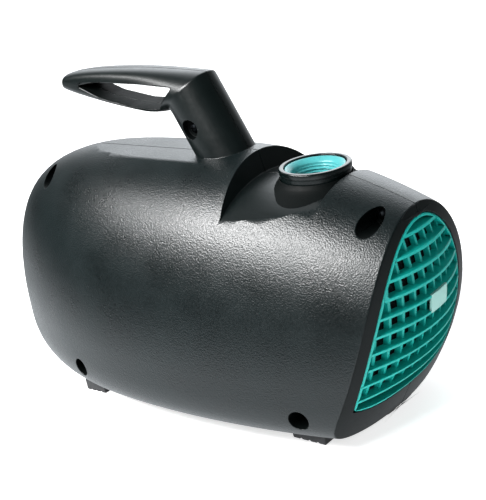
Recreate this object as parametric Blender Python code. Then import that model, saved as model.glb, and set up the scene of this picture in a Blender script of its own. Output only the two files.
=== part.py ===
"""Portable electric air pump: a barrel housing in two halves with a carrying handle,
an intake grille at the front, a threaded outlet on top, and a motor with a radial impeller.

Millimetres in the script, metres in the scene. +X points to the grille, +Z up,
Y = 0 is the seam between the two housing halves, and Z = 0 is the surface that the feet rest on.
"""
import math

import bmesh
import bpy
from mathutils import Vector

MM = 0.001
GAP = 0.3  # clearance left between pieces that touch

# Barrel: a superellipse section that closes to a blunt rear end
X_REAR = -201.6  # rearmost point
X_KNEE = -11.2  # the barrel starts to close behind this
CLOSE_POWER = 2.757
Z_MIDDLE = 56.4  # height of the widest line
Z_CROWN = 194.1
Z_BELLY = 8.0
X_CROWN = 38.9  # the top drops in front of this
CROWN_DROP = 0.001224  # per mm squared
HALF_WIDTH = 94.7
X_WIDEST = 23.9
WIDTH_DROP = 0.000906  # per mm squared
UPPER_POWER = 2.04
LOWER_POWER = 4.9
WALL = 3.0

# Front face: a shallow dome
X_FRONT = 201.1
Z_FRONT = 125.1
FRONT_DROP_Y = 0.002247  # per mm squared
FRONT_DROP_Z = 0.002529
FRONT_WALL = 3.5
ORIGIN_X = 3.00  # the box's middle, which becomes X = 0

# Grille opening: half an ellipse on a nearly flat sill
OPENING_TOP = 155.2
OPENING_SPRING = 35.2  # height where the arch meets the sill
OPENING_HALF_WIDTH = 62.3
SILL_MIDDLE = 28.4
SLAT_TOP = 147.0
SLAT_PITCH = 11.7
SLAT_COUNT = 10
SLAT_THICK = 2.0
RIB_PITCH = 11.2
RIB_COUNT = 10
RIB_THICK = 2.0
GRILLE_SETBACK = 0.5
RIB_SETBACK = 5.0
GRILLE_DEPTH = 9.5
GRILLE_DOME = 7.4  # the grille bulges this far past the bezel
DOME_Z = 88.0
DOME_FALL = 62.0  # from the dome's peak down to the sill
NAMEPLATE_Y = 5.6
NAMEPLATE_ROW = 4  # the plate fills the gap under this slat

# Notch for the outlet, with a crowned floor
NOTCH_REAR_TOP = 71.0
NOTCH_REAR_SLOPE = 0.22
NOTCH_FRONT_TOP = 149.0
NOTCH_FRONT_SLOPE = 0.2
NOTCH_FLOOR = 176.7
NOTCH_FLOOR_FALL = 0.04  # along +X
NOTCH_FLOOR_CROWN = 0.0044  # per mm squared
FACET_Z = 189.7  # flat on the crown under the handle

# Outlet
X_PORT = 120.0
COLLAR_RADIUS = 25.5
COLLAR_TOP = 185.8
COLLAR_NECK_RADIUS = 25.0
INSERT_RADIUS = 21.6
THREAD_MAJOR = 16.6  # G 1 pipe thread, radius
THREAD_MINOR = 15.1
THREAD_PITCH = 2.3
THREAD_TURNS = 3
PLINTH = ((22.0, 166.0), (32.5, 166.0), (32.0, 171.0), (29.2, 173.6), (27.4, 175.8), (26.4, 178.4),
          (22.0, 178.4))  # the housing rises to meet the collar: (radius, z)
NECK_RADIUS = 15.0
NECK_BORE = 12.5

# Handle: a round stem that leans back, mitred into a grip loop
STEM_RADIUS = 21.0
MITRE_FRONT = (35.0, 249.5)
MITRE_REAR = (1.6, 221.2)
STEM_FOOT_Z = 184.0
STEM_LEAN = 0.502  # mm of X for each mm of height
STEM_WALL = 3.5
GRIP_SLOT = ((-89.8, 239.6), (-75.0, 242.2), (-60.8, 242.8), (-21.7, 242.8), (15.0, 241.6),
             (-3.0, 224.2), (-35.7, 225.6), (-65.4, 230.8))

# Housing screws, all along Y: (x, z)
SCREW_PLACES = ((180.9, 158.8), (138.8, 30.9), (-126.0, 168.3), (-70.6, 33.8), (28.0, 211.7))
BORE_RADIUS = 7.2
BOSS_RADIUS = 9.5
SCREW_SEAT_Y = -14.0
SCREW_RADIUS = 1.8
SCREW_HEAD_RADIUS = 4.0
SCREW_END_Y = 12.0

# Feet: (x low, x high, y low, y high) on one side, mirrored to the other
FOOT_HEIGHT = 8.0
FOOT_PLACES = {"front": (112.0, 141.0, 41.0, 59.0), "rear": (-94.0, -72.5, 46.0, 64.7)}
FOOT_STUD_RADIUS = 3.2

# Motor and impeller, on an axis along X
Z_SHAFT = 92.0
SHAFT_RADIUS = 6.0
CASING_RADIUS = 46.0
CASING_X = (0.0, 91.7)
SHIELD_RADIUS = 53.0
SHIELD_THICK = 7.7
BEARING_RADIUS = 11.0
BEARING_LENGTH = 8.0
STATOR_X = (22.0, 70.0)
ROTOR_RADIUS = 24.0
AIR_GAP = 0.6
BOLT_CIRCLE = 49.5
IMPELLER_RADIUS = 39.0
IMPELLER_X = 111.0
IMPELLER_BLADES = 7
FAN_X = -30.0
FAN_RADIUS = 34.0
FAN_BLADES = 6
SCROLL_X = (100.3, 136.4)
SCROLL_RADIUS = 43.0
SCROLL_GROWTH = 8.0

# Cable gland in a round pocket at the rear
GLAND_Z = 56.4
POCKET_RADIUS = 16.0
POCKET_FLOOR = -186.0
GLAND_THREAD_RADIUS = 8.0

MATERIALS = {  # colour, roughness, metallic
    "black_plastic": ((0.035, 0.037, 0.040), 0.45, 0.0),
    "satin_black": ((0.02, 0.02, 0.022), 0.3, 0.0),
    "teal_plastic": ((0.01, 0.30, 0.24), 0.4, 0.0),
    "mint_plastic": ((0.40, 0.70, 0.58), 0.45, 0.0),
    "aqua_plastic": ((0.08, 0.52, 0.52), 0.35, 0.0),
    "black_rubber": ((0.02, 0.02, 0.02), 0.8, 0.0),
    "black_foam": ((0.015, 0.015, 0.015), 0.95, 0.0),
    "grey_plastic": ((0.25, 0.26, 0.27), 0.5, 0.0),
    "zinc_steel": ((0.55, 0.56, 0.58), 0.3, 1.0),
    "lamination_steel": ((0.30, 0.31, 0.33), 0.45, 1.0),
    "cast_aluminium": ((0.62, 0.63, 0.64), 0.45, 1.0),
    "copper_wire": ((0.72, 0.33, 0.14), 0.35, 1.0),
}


# ---------------------------------------------------------------- mesh helpers
def clear_scene():
    for old in list(bpy.data.objects):
        bpy.data.objects.remove(old)


def make_materials():
    made = {}
    for name, (colour, roughness, metallic) in MATERIALS.items():
        material = bpy.data.materials.new(name)
        material.use_nodes = True
        shader = material.node_tree.nodes["Principled BSDF"]
        shader.inputs["Base Color"].default_value = (*colour, 1.0)
        shader.inputs["Roughness"].default_value = roughness
        shader.inputs["Metallic"].default_value = metallic
        made[name] = material
    return made


def solid(name, points, faces, material=None):
    """An object from points in millimetres. With no material it is a hidden cutter."""
    mesh = bpy.data.meshes.new(name)
    mesh.from_pydata([Vector((x - ORIGIN_X, y, z)) * MM for x, y, z in points], [], faces)
    work = bmesh.new()
    work.from_mesh(mesh)
    bmesh.ops.remove_doubles(work, verts=work.verts, dist=1e-6)
    bare = [edge for edge in work.edges if edge.is_wire]
    bmesh.ops.delete(work, geom=bare, context="EDGES")
    bmesh.ops.recalc_face_normals(work, faces=work.faces)
    work.to_mesh(mesh)
    work.free()
    mesh.shade_smooth()
    mesh.set_sharp_from_angle(angle=math.radians(35))
    made = bpy.data.objects.new(name, mesh)
    bpy.context.scene.collection.objects.link(made)
    if material:
        mesh.materials.append(SHADES[material])
    else:
        made.hide_render = True
        made.display_type = "WIRE"
    return made


def combine(target, other, operation="DIFFERENCE", solver="EXACT"):
    modifier = target.modifiers.new(other.name, "BOOLEAN")
    modifier.operation = operation
    modifier.solver = solver
    modifier.object = other
    return target


def strips(rows, columns, closed_rows=False, closed_columns=False):
    """Quads over a grid of points stored row by row."""
    faces = []
    for row in range(rows if closed_rows else rows - 1):
        for column in range(columns if closed_columns else columns - 1):
            across = (column + 1) % columns
            below = (row + 1) % rows
            faces.append((row * columns + column, row * columns + across,
                          below * columns + across, below * columns + column))
    return faces


def place(along, first, second, axis):
    """A point from its distance along an axis and two distances across it."""
    return {"X": (along, first, second), "Y": (first, along, second), "Z": (first, second, along)}[axis]


def lathe(name, profile, centre, axis="X", material=None, segments=24):
    """Turns a closed profile of (radius, distance along the axis). centre is across the axis."""
    points = []
    for radius, along in profile:
        for step in range(segments):
            angle = math.tau * step / segments
            points.append(place(along, centre[0] + radius * math.cos(angle),
                                centre[1] + radius * math.sin(angle), axis))
    return solid(name, points, strips(len(profile), segments, True, True), material)


def ring(name, inner, outer, low, high, centre, axis="X", material=None, segments=24):
    profile = ((inner, low), (outer, low), (outer, high), (inner, high))
    return lathe(name, profile, centre, axis, material, segments)


def extrude(name, outline, low, high, axis="X", material=None):
    """A prism: outline holds the two coordinates across the axis."""
    count = len(outline)
    points = [place(low, *spot, axis) for spot in outline] + [place(high, *spot, axis) for spot in outline]
    faces = [tuple(range(count)), tuple(range(count, 2 * count))]
    for step in range(count):
        after = (step + 1) % count
        faces.append((step, after, count + after, count + step))
    return solid(name, points, faces, material)


def block(name, low, high, material=None):
    outline = ((low[1], low[2]), (high[1], low[2]), (high[1], high[2]), (low[1], high[2]))
    return extrude(name, outline, low[0], high[0], "X", material)


def rods(name, places, radius, low, high, axis="Y", segments=16):
    """Parallel round bars in one cutter."""
    points = []
    faces = []
    for first, second in places:
        start = len(points)
        for along in (low, high):
            for step in range(segments):
                angle = math.tau * step / segments
                points.append(place(along, first + radius * math.cos(angle),
                                    second + radius * math.sin(angle), axis))
        faces.append(tuple(range(start, start + segments)))
        faces.append(tuple(range(start + segments, start + 2 * segments)))
        for step in range(segments):
            after = (step + 1) % segments
            faces.append((start + step, start + after, start + segments + after, start + segments + step))
    return solid(name, points, faces)


# ---------------------------------------------------------------- barrel
def front_x(y, z):
    return X_FRONT - FRONT_DROP_Y * y * y - FRONT_DROP_Z * (z - Z_FRONT) ** 2


def grille_x(y, z):
    """The grille's own face, which bulges past the bezel and meets it along the arch."""
    rise = max(z - OPENING_SPRING, 0.0) / (OPENING_TOP - OPENING_SPRING)
    half = OPENING_HALF_WIDTH * math.sqrt(max(1 - rise * rise, 0.0001))
    across = max(1 - (y / half) ** 2, 0.0)
    if z > DOME_Z:
        along = 1 - ((z - DOME_Z) / (OPENING_TOP - DOME_Z)) ** 2
    else:
        along = 1 - ((DOME_Z - z) / DOME_FALL) ** 3
    return front_x(y, z) + GRILLE_DOME * across * max(along, 0.0)


def section_point(x, angle, inset=0.0, seam_y=0.0):
    """(y, z) on the barrel's skin, or that far inside it. 90 degrees is the crown, at seam_y."""
    share = min(max((X_KNEE - x) / (X_KNEE - X_REAR - inset), 0.0), 1.0)
    close = (1 - share ** CLOSE_POWER) ** (1 / CLOSE_POWER)
    crown = Z_CROWN - inset - CROWN_DROP * max(x - X_CROWN, 0.0) ** 2
    reach = (HALF_WIDTH - inset - WIDTH_DROP * (x - X_WIDEST) ** 2 - seam_y) * close
    upper = math.sin(angle) >= 0
    power = UPPER_POWER if upper else LOWER_POWER
    height = (crown - Z_MIDDLE if upper else Z_MIDDLE - Z_BELLY - inset) * close
    across = abs(math.cos(angle)) ** (2 / power)
    rise = math.copysign(abs(math.sin(angle)) ** (2 / power), math.sin(angle))
    return seam_y + reach * across, Z_MIDDLE + height * rise


def rim_x(angle, inset, front_inset, seam_y):
    """Where the barrel's line at this angle meets the front face."""
    x = X_FRONT - 20
    for _ in range(40):
        across, z = section_point(x, angle, inset, seam_y)
        x = 0.6 * x + 0.4 * (front_x(across, z) - front_inset)
    return x


def belly_z(x, y, below=0.0):
    """Height of the barrel's underside above the resting surface."""
    low, high = -math.pi / 2, 0.0
    for _ in range(40):
        middle = (low + high) / 2
        if section_point(x, middle)[0] < abs(y):
            low = middle
        else:
            high = middle
    return section_point(x, low)[1] - below


def half_barrel(name, side, inset, front_inset, seam_y, material=None, stations=13, angles=16):
    """One half of the barrel as a solid: skin, front face and the flat at the seam."""
    points = []
    turns = [math.pi / 2 - math.pi * step / angles for step in range(angles + 1)]
    rims = [rim_x(turn, inset, front_inset, seam_y) for turn in turns]
    rear = X_REAR + inset
    for station in range(stations + 1):
        share = 1 - math.cos(math.pi / 2 * station / stations)
        for turn, rim in zip(turns, rims):
            x = rear + (rim - rear) * share
            across, z = section_point(x, turn, inset, seam_y)
            points.append((x, side * across, z))
    front_rows = 5
    for row in range(1, front_rows + 1):
        for turn, rim in zip(turns, rims):
            across, z = section_point(rim, turn, inset, seam_y)
            y = seam_y + (across - seam_y) * (1 - row / front_rows)
            points.append((front_x(y, z) - front_inset, side * y, z))
    columns = angles + 1
    rows = stations + 1 + front_rows
    faces = strips(rows, columns)
    crown_line = [row * columns for row in range(stations + 1)]
    front_line = [(rows - 1) * columns + column for column in range(columns)]
    belly_line = [row * columns + columns - 1 for row in range(stations, 0, -1)]
    faces.append(tuple(crown_line + front_line[1:-1] + belly_line))
    return solid(name, points, faces, material)


def notch(name, grow=0.0):
    """The cut across the crown that the outlet stands in. grow makes it larger all round."""
    y_reach = 110.0
    steps = 10
    z_top = 240.0
    points = []
    rear = (lambda z: NOTCH_REAR_TOP + (Z_CROWN - z) * NOTCH_REAR_SLOPE - grow)
    front = (lambda z: NOTCH_FRONT_TOP - (Z_CROWN - z) * NOTCH_FRONT_SLOPE + grow)
    for step in range(steps + 1):
        y = y_reach * (2 * step / steps - 1) * abs(2 * step / steps - 1) ** 0.5
        crown = NOTCH_FLOOR - grow - NOTCH_FLOOR_CROWN * y * y
        low_rear = crown - NOTCH_FLOOR_FALL * (rear(crown) - NOTCH_REAR_TOP - 6)
        low_front = crown - NOTCH_FLOOR_FALL * (front(crown) - NOTCH_REAR_TOP - 6)
        points += [(rear(low_rear), y, low_rear), (front(low_front), y, low_front),
                   (front(z_top), y, z_top), (rear(z_top), y, z_top)]
    faces = strips(steps + 1, 4, closed_columns=True)
    faces += [(0, 1, 2, 3), tuple(4 * steps + corner for corner in range(4))]
    return solid(name, points, faces)


# ---------------------------------------------------------------- handle
def stem_edges(z, shrink=0.0):
    """Front and rear X of the leaning stem at a height."""
    front = MITRE_FRONT[0] + (MITRE_FRONT[1] - z) * STEM_LEAN
    width = 2 * STEM_RADIUS * math.sqrt(1 + STEM_LEAN ** 2)
    edge = shrink * math.sqrt(1 + STEM_LEAN ** 2)
    return front - edge, front - width + edge


def handle_rings():
    """(upper or front point, lower or rear point, half depth, power) from the tip to the foot."""
    rings = [
        ((-110.8, 242.8), (-110.9, 237.6), 6.5, 2.2),
        ((-109.8, 245.0), (-110.2, 236.0), 9.0, 2.3),
        ((-107.0, 246.8), (-108.0, 235.0), 11.0, 2.5),
        ((-97.0, 248.8), (-98.0, 233.0), 12.6, 2.8),
        ((-80.0, 250.4), (-80.0, 230.0), 13.6, 3.5),
        ((-55.0, 251.5), (-55.0, 225.7), 14.6, 3.7),
        ((-25.0, 251.9), (-25.0, 221.3), 16.2, 3.2),
        ((8.0, 251.0), (-10.0, 220.2), 19.0, 2.4),
        (MITRE_FRONT, MITRE_REAR, STEM_RADIUS, 2.0),
    ]
    for z_front, z_rear in ((216.0, 212.0), (STEM_FOOT_Z, STEM_FOOT_Z)):
        front = stem_edges(z_front)[0]
        rear = stem_edges(z_rear)[1]
        rings.append(((front, z_front), (rear, z_rear), STEM_RADIUS, 2.0))
    return rings


def loft_half(name, rings, side, seam_y, steps=12, material=None):
    """A solid on one side of the seam through rings that stand square to Y = 0."""
    points = []
    for upper, lower, depth, power in rings:
        for step in range(steps + 1):
            angle = math.pi / 2 - math.pi * step / steps
            across = abs(math.cos(angle)) ** (2 / power)
            along = math.copysign(abs(math.sin(angle)) ** (2 / power), math.sin(angle))
            share = (1 - along) / 2
            x = upper[0] + (lower[0] - upper[0]) * share
            z = upper[1] + (lower[1] - upper[1]) * share
            points.append((x, side * (seam_y + (depth - seam_y) * across), z))
    columns = steps + 1
    faces = strips(len(rings), columns)
    last = (len(rings) - 1) * columns
    faces += [tuple(range(columns)), tuple(range(last, last + columns))]
    for row in range(len(rings) - 1):
        faces.append((row * columns, (row + 1) * columns,
                      (row + 1) * columns + steps, row * columns + steps))
    return solid(name, points, faces, material)


def stem_hollow(name, side):
    rings = []
    for z_front, z_rear in ((236.0, 216.0), (178.0, 178.0)):
        front = stem_edges(z_front, STEM_WALL)[0]
        rear = stem_edges(z_rear, STEM_WALL)[1]
        rings.append(((front, z_front), (rear, z_rear), STEM_RADIUS - STEM_WALL, 2.0))
    return loft_half(name, rings, side, -2.0, 10)


# ---------------------------------------------------------------- housing
def make_housing(name, side):
    """A half of the housing: side is -1 for the half with the screw bores, 1 for the other."""
    tag = "right" if side < 0 else "left"
    shell = half_barrel(name, side, 0.0, 0.0, GAP / 2, "black_plastic")
    cut = notch(f"cut_notch_{tag}")  # it spares the plinth that the collar stands on
    combine(cut, lathe(f"plinth_{tag}", PLINTH, (X_PORT, 0.0), "Z"))
    combine(shell, cut)
    combine(shell, block(f"cut_facet_{tag}", (-130, -60, FACET_Z), (37, 60, 230)))
    combine(shell, rods(f"cut_pocket_{tag}", [(0, GLAND_Z)], POCKET_RADIUS, -230, POCKET_FLOOR, "X", 24))
    handle = loft_half(f"handle_{tag}", handle_rings(), side, GAP / 2, 12)
    combine(handle, extrude(f"cut_slot_{tag}", GRIP_SLOT, -40, 40, "Y"))
    combine(shell, handle, "UNION")

    room = half_barrel(f"room_{tag}", side, WALL, FRONT_WALL, -2.0)
    combine(room, notch(f"room_notch_{tag}", WALL))
    combine(room, block(f"room_facet_{tag}", (-140, -70, FACET_Z - WALL), (40, 70, 230)))
    combine(room, rods(f"room_pocket_{tag}", [(0, GLAND_Z)], POCKET_RADIUS + WALL,
                       -230, POCKET_FLOOR + WALL, "X", 24))
    combine(room, rods(f"bosses_{tag}", SCREW_PLACES[:4], BOSS_RADIUS, -110, 110))
    combine(shell, room)
    hollow = stem_hollow(f"stem_room_{tag}", side)
    combine(hollow, rods(f"stem_boss_{tag}", SCREW_PLACES[4:], BOSS_RADIUS, -40, 40))
    combine(shell, hollow)

    combine(shell, extrude(f"cut_opening_{tag}", opening_outline(GAP), 150, 220))
    combine(shell, rods(f"cut_port_{tag}", [(X_PORT, 0)], COLLAR_NECK_RADIUS + GAP, 150, 200, "Z", 32))
    combine(shell, rods(f"cut_gland_{tag}", [(0, GLAND_Z)], GLAND_THREAD_RADIUS + GAP, -195, -170, "X", 24))
    if side < 0:
        combine(shell, rods("cut_bores", SCREW_PLACES, BORE_RADIUS, -110, SCREW_SEAT_Y))
        combine(shell, rods("cut_shanks", SCREW_PLACES, SCREW_RADIUS + 0.5, -30, 3, segments=8))
    else:
        combine(shell, rods("cut_pilots", SCREW_PLACES, SCREW_RADIUS + GAP, -3, SCREW_END_Y + 2, segments=8))
    combine(shell, rods(f"cut_studs_{tag}", [(x, side * y) for x, y in foot_centres()],
                        FOOT_STUD_RADIUS + GAP, 0, 25, "Z", 16))
    return shell


def foot_centres():
    return [((x0 + x1) / 2, (y0 + y1) / 2) for x0, x1, y0, y1 in FOOT_PLACES.values()]


def make_screws():
    for number, (x, z) in enumerate(SCREW_PLACES, 1):
        seat = SCREW_SEAT_Y - GAP
        profile = ((0, seat - 3.0), (2.6, seat - 3.0), (SCREW_HEAD_RADIUS, seat - 1.8),
                   (SCREW_HEAD_RADIUS, seat), (SCREW_RADIUS, seat), (SCREW_RADIUS, SCREW_END_Y - 2),
                   (0, SCREW_END_Y))
        lathe(f"housing_screw_{number}", profile, (x, z), "Y", "zinc_steel", 8)


def make_feet():
    for end, (x0, x1, y0, y1) in FOOT_PLACES.items():
        for tag, side in (("right", -1), ("left", 1)):
            xs = [x0 + (x1 - x0) * step / 3 for step in range(4)]
            ys = [y0 + (y1 - y0) * step / 3 for step in range(4)]
            points = [(x, side * y, 0.0) for x in xs for y in ys]
            points += [(x, side * y, belly_z(x, y, GAP)) for x in xs for y in ys]
            under = strips(4, 4)
            faces = under + [tuple(16 + corner for corner in face) for face in under]
            edge = [0, 1, 2, 3, 7, 11, 15, 14, 13, 12, 8, 4]
            for step, corner in enumerate(edge):
                after = edge[(step + 1) % len(edge)]
                faces.append((corner, after, 16 + after, 16 + corner))
            foot = solid(f"foot_{end}_{tag}", points, faces, "black_rubber")
            centre = ((x0 + x1) / 2, side * (y0 + y1) / 2)
            combine(foot, rods(f"stud_{end}_{tag}", [centre], FOOT_STUD_RADIUS, 4, 18, "Z", 16), "UNION")


# ---------------------------------------------------------------- front
def opening_outline(grow=0.0, arch_steps=20, sill_steps=6):
    """The grille opening as (y, z), from the right foot of the arch over the top and back along the sill."""
    half = OPENING_HALF_WIDTH + grow
    rise = OPENING_TOP - OPENING_SPRING + grow
    outline = []
    for step in range(arch_steps + 1):
        angle = math.pi * step / arch_steps
        outline.append((half * math.cos(angle), OPENING_SPRING + rise * math.sin(angle)))
    for step in range(1, sill_steps):
        share = 2 * step / sill_steps - 1
        sag = (OPENING_SPRING - SILL_MIDDLE + grow) * (1 - share ** 4)
        outline.append((half * share, OPENING_SPRING - sag))
    return outline


def face_ring(name, outer, inner, front, back, surface, material=None):
    """A band between two outlines that follows a curved surface, between two setbacks."""
    count = len(outer)
    points = []
    for outline, setback in ((outer, front), (inner, front), (inner, back), (outer, back)):
        points += [(surface(y, z) - setback, y, z) for y, z in outline]
    return solid(name, points, strips(4, count, True, True), material)


def rib_edges():
    edges = []
    for rib in range(RIB_COUNT):
        middle = (rib - (RIB_COUNT - 1) / 2) * RIB_PITCH
        edges += [middle - RIB_THICK / 2, middle + RIB_THICK / 2]
    return edges


def slat_edges():
    edges = []
    for slat in range(SLAT_COUNT - 1, -1, -1):
        middle = SLAT_TOP - SLAT_PITCH * slat
        edges += [middle - SLAT_THICK / 2, middle + SLAT_THICK / 2]
    return edges


def lattice(name, material=None):
    """Slats across the full depth, ribs in the rear layer only, as cells that share their corners."""
    reach = OPENING_HALF_WIDTH + 6
    ys = [-reach, *rib_edges(), reach]
    zs = slat_edges()
    setbacks = (GRILLE_SETBACK, RIB_SETBACK, GRILLE_DEPTH)

    def filled(column, row, layer):
        if not (0 <= column < len(ys) - 1 and 0 <= row < len(zs) - 1 and 0 <= layer < 2):
            return False
        is_slat = row % 2 == 0
        is_rib = column % 2 == 1
        return is_slat or (is_rib and layer == 1)

    def corner(column, row, layer):
        y, z = ys[column], zs[row]
        return grille_x(y, z) - setbacks[layer], y, z

    keys = {}
    points = []

    def index(*key):
        if key not in keys:
            keys[key] = len(points)
            points.append(corner(*key))
        return keys[key]

    sides = (((1, 0, 0), ((1, 0, 0), (1, 1, 0), (1, 1, 1), (1, 0, 1))),
             ((-1, 0, 0), ((0, 0, 0), (0, 0, 1), (0, 1, 1), (0, 1, 0))),
             ((0, 1, 0), ((0, 1, 0), (0, 1, 1), (1, 1, 1), (1, 1, 0))),
             ((0, -1, 0), ((0, 0, 0), (1, 0, 0), (1, 0, 1), (0, 0, 1))),
             ((0, 0, 1), ((0, 0, 1), (1, 0, 1), (1, 1, 1), (0, 1, 1))),
             ((0, 0, -1), ((0, 0, 0), (0, 1, 0), (1, 1, 0), (1, 0, 0))))
    faces = []
    for column in range(len(ys) - 1):
        for row in range(len(zs) - 1):
            for layer in range(2):
                if not filled(column, row, layer):
                    continue
                for (step_y, step_z, step_x), corners in sides:
                    if not filled(column + step_y, row + step_z, layer + step_x):
                        faces.append(tuple(index(column + a, row + b, layer + c) for a, b, c in corners))
    return solid(name, points, faces, material)


def make_front():
    grille = face_ring("intake_grille", opening_outline(-GAP), opening_outline(-2.4),
                       GRILLE_SETBACK, GRILLE_DEPTH, grille_x, "teal_plastic")
    mesh = lattice("lattice")
    combine(mesh, extrude("lattice_outline", opening_outline(-1.4), 140, 230), "INTERSECT")
    combine(grille, mesh, "UNION")
    flange = face_ring("grille_flange", opening_outline(2.6), opening_outline(-1.8),
                       FRONT_WALL + 3 * GAP, FRONT_WALL + 3.0, front_x)
    combine(grille, flange, "UNION")
    combine(grille, rods("clear_grille_boss", SCREW_PLACES[:1], BOSS_RADIUS + 0.5, -60, 60),
            solver="MANIFOLD")

    combine(grille, plate_block("plate_pocket", -2.0, 3.0, GAP), solver="MANIFOLD")
    plate_block("nameplate_blank", GRILLE_SETBACK + 0.1, 2.6, 0.0, "mint_plastic")

    foam_front = GRILLE_DEPTH + 1.5
    foam = foam_slab("filter_foam", foam_front, 10.0)
    combine(foam, rods("clear_foam_boss", SCREW_PLACES[:1], BOSS_RADIUS + 0.5, -60, 60))


def plate_block(name, front, rear, grow, material=None):
    """The nameplate's form between two setbacks: two cells wide, and over both of its slats."""
    middle = SLAT_TOP - SLAT_PITCH * (NAMEPLATE_ROW + 0.5)
    top = middle + (SLAT_PITCH + SLAT_THICK) / 2 + grow
    bottom = middle - (SLAT_PITCH + SLAT_THICK) / 2 - grow
    half = RIB_PITCH - GAP + grow
    ys = [NAMEPLATE_Y - half + 2 * half * step / 4 for step in range(5)]
    points = []
    for setback, z in ((front, top), (front, bottom), (rear, bottom), (rear, top)):
        points += [(grille_x(y, z) - setback, y, z) for y in ys]
    faces = strips(4, 5, closed_rows=True) + [(0, 5, 10, 15), (4, 9, 14, 19)]
    return solid(name, points, faces, material)


def foam_slab(name, setback, thick):
    """A pad cut to the opening's outline and bent along the domed front."""
    outline = opening_outline(-1.5, 16, 8)
    rings = 4
    points = []
    for depth in (setback, setback + thick):
        for step in range(rings):
            scale = 1 - step / rings
            for y, z in outline:
                spot = (y * scale, Z_MIDDLE + 25 + (z - Z_MIDDLE - 25) * scale)
                points.append((grille_x(*spot) - depth, *spot))
    count = len(outline)
    centre = len(points)
    for depth in (setback, setback + thick):
        points.append((grille_x(0, Z_MIDDLE + 25) - depth, 0, Z_MIDDLE + 25))
    faces = []
    for layer in (0, 1):
        base = layer * rings * count
        for face in strips(rings, count, closed_columns=True):
            faces.append(tuple(base + corner for corner in face))
        last = base + (rings - 1) * count
        for step in range(count):
            faces.append((last + step, last + (step + 1) % count, centre + layer))
    for step in range(count):
        after = (step + 1) % count
        faces.append((step, after, rings * count + after, rings * count + step))
    return solid(name, points, faces, "black_foam")


# ---------------------------------------------------------------- outlet
def make_outlet():
    centre = (X_PORT, 0.0)
    inner = INSERT_RADIUS + GAP
    low = 158.0
    profile = ((inner, low), (28.0, low), (28.0, low + 3.0), (COLLAR_NECK_RADIUS, low + 3.0),
               (COLLAR_NECK_RADIUS, 181.2),
               (COLLAR_RADIUS, 181.8), (COLLAR_RADIUS, COLLAR_TOP - 1.0),
               (COLLAR_RADIUS - 1.0, COLLAR_TOP), (inner + 0.8, COLLAR_TOP), (inner, COLLAR_TOP - 0.8))
    lathe("outlet_collar", profile, centre, "Z", "satin_black", 32)
    ring("outlet_gasket", COLLAR_NECK_RADIUS + GAP, 28.0, low + 3.0 + GAP, low + 4.6, centre, "Z", "black_rubber", 24)

    top = COLLAR_TOP - 1.2
    thread_top = top - 4.9
    profile = [(INSERT_RADIUS, 146.0), (INSERT_RADIUS, top), (INSERT_RADIUS - 0.4, top),
               (THREAD_MAJOR + 2.2, top - 0.9), (THREAD_MAJOR, top - 2.6), (THREAD_MAJOR, thread_top)]
    for turn in range(THREAD_TURNS):
        z = thread_top - turn * THREAD_PITCH
        profile += [(THREAD_MAJOR, z - 0.35 * THREAD_PITCH), (THREAD_MINOR, z - 0.6 * THREAD_PITCH),
                    (THREAD_MINOR, z - 0.85 * THREAD_PITCH), (THREAD_MAJOR, z - 1.05 * THREAD_PITCH)]
    floor = thread_top - (THREAD_TURNS + 0.6) * THREAD_PITCH
    profile += [(THREAD_MINOR - 0.1, floor), (NECK_BORE, floor), (NECK_BORE, 152.0),
                (NECK_RADIUS + GAP, 152.0), (NECK_RADIUS + GAP, 146.0)]
    lathe("outlet_insert", profile, centre, "Z", "aqua_plastic", 32)


# ---------------------------------------------------------------- motor and blower
AXIS = (0.0, Z_SHAFT)


def bolt_places():
    places = []
    for quarter in range(4):
        angle = math.radians(45 + 90 * quarter)
        places.append((BOLT_CIRCLE * math.cos(angle), Z_SHAFT + BOLT_CIRCLE * math.sin(angle)))
    return places


def end_shield(name, outside, inward):
    """A cast cover with a bearing pocket. inward is 1 where the motor lies towards +X."""
    inside = outside + inward * SHIELD_THICK
    hub = inside + inward * 6.0
    seat = hub - inward * (BEARING_LENGTH + GAP)
    pocket = BEARING_RADIUS + 0.15
    profile = ((SHAFT_RADIUS + 1.5, outside), (SHIELD_RADIUS, outside), (SHIELD_RADIUS, inside),
               (pocket + 4, inside), (pocket + 4, hub), (pocket, hub), (pocket, seat),
               (SHAFT_RADIUS + 1.5, seat))
    made = lathe(name, profile, AXIS, "X", "cast_aluminium", 24)
    return combine(made, rods(f"holes_{name}", bolt_places(), 2.2, -60, 140, "X", 8))


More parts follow.
